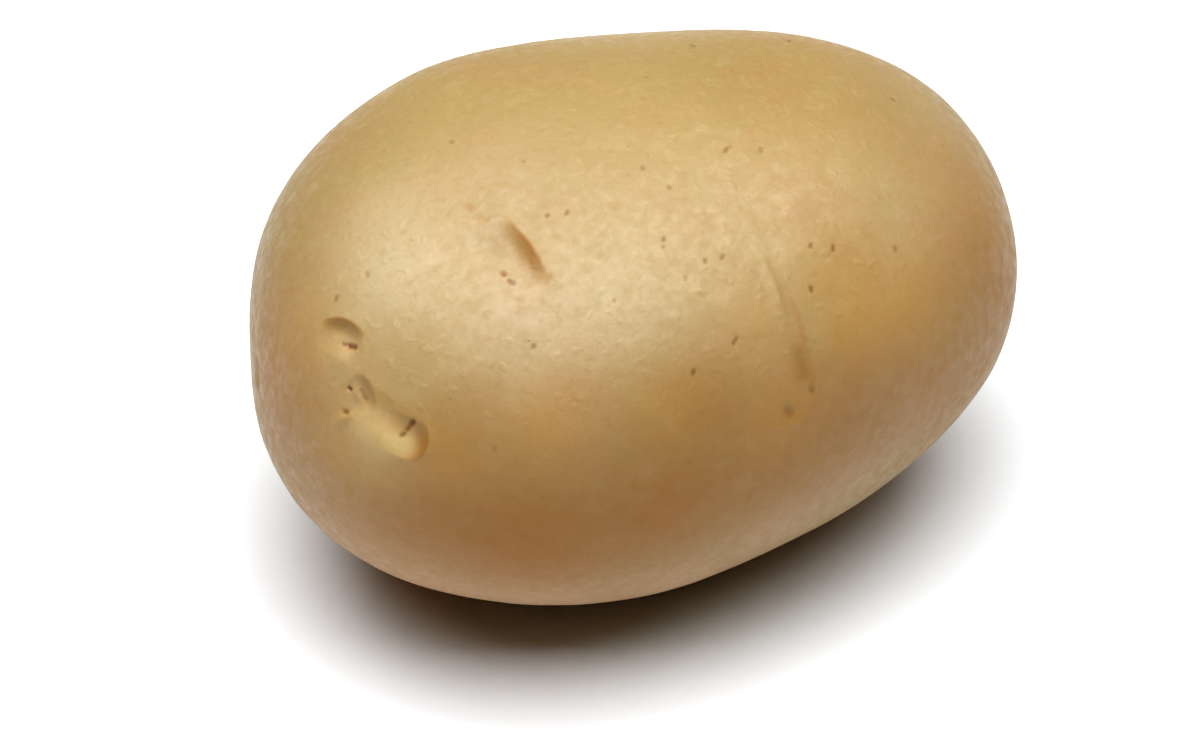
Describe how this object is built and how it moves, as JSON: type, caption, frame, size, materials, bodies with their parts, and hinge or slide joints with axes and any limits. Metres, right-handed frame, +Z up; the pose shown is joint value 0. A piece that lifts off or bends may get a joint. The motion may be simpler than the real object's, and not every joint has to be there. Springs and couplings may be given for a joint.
{
  "type": "potato",
  "caption": "Whole unpeeled potato, a smooth oval tuber with pale tan skin and shallow eyes, lying on its flattest side.",
  "frame": {"origin": "on the surface the tuber rests on, under the middle of its bounding box", "axes": "+X along the tuber from the rose end, where the eyes crowd, to the stem end; +Y across it; +Z up from its flattest side"},
  "size_m": [0.1014, 0.0762, 0.0628],
  "materials": {
    "potato_skin": null
  },
  "bodies": {
    "root": {"potato": "potato_skin"}
  },
  "joints": []
}
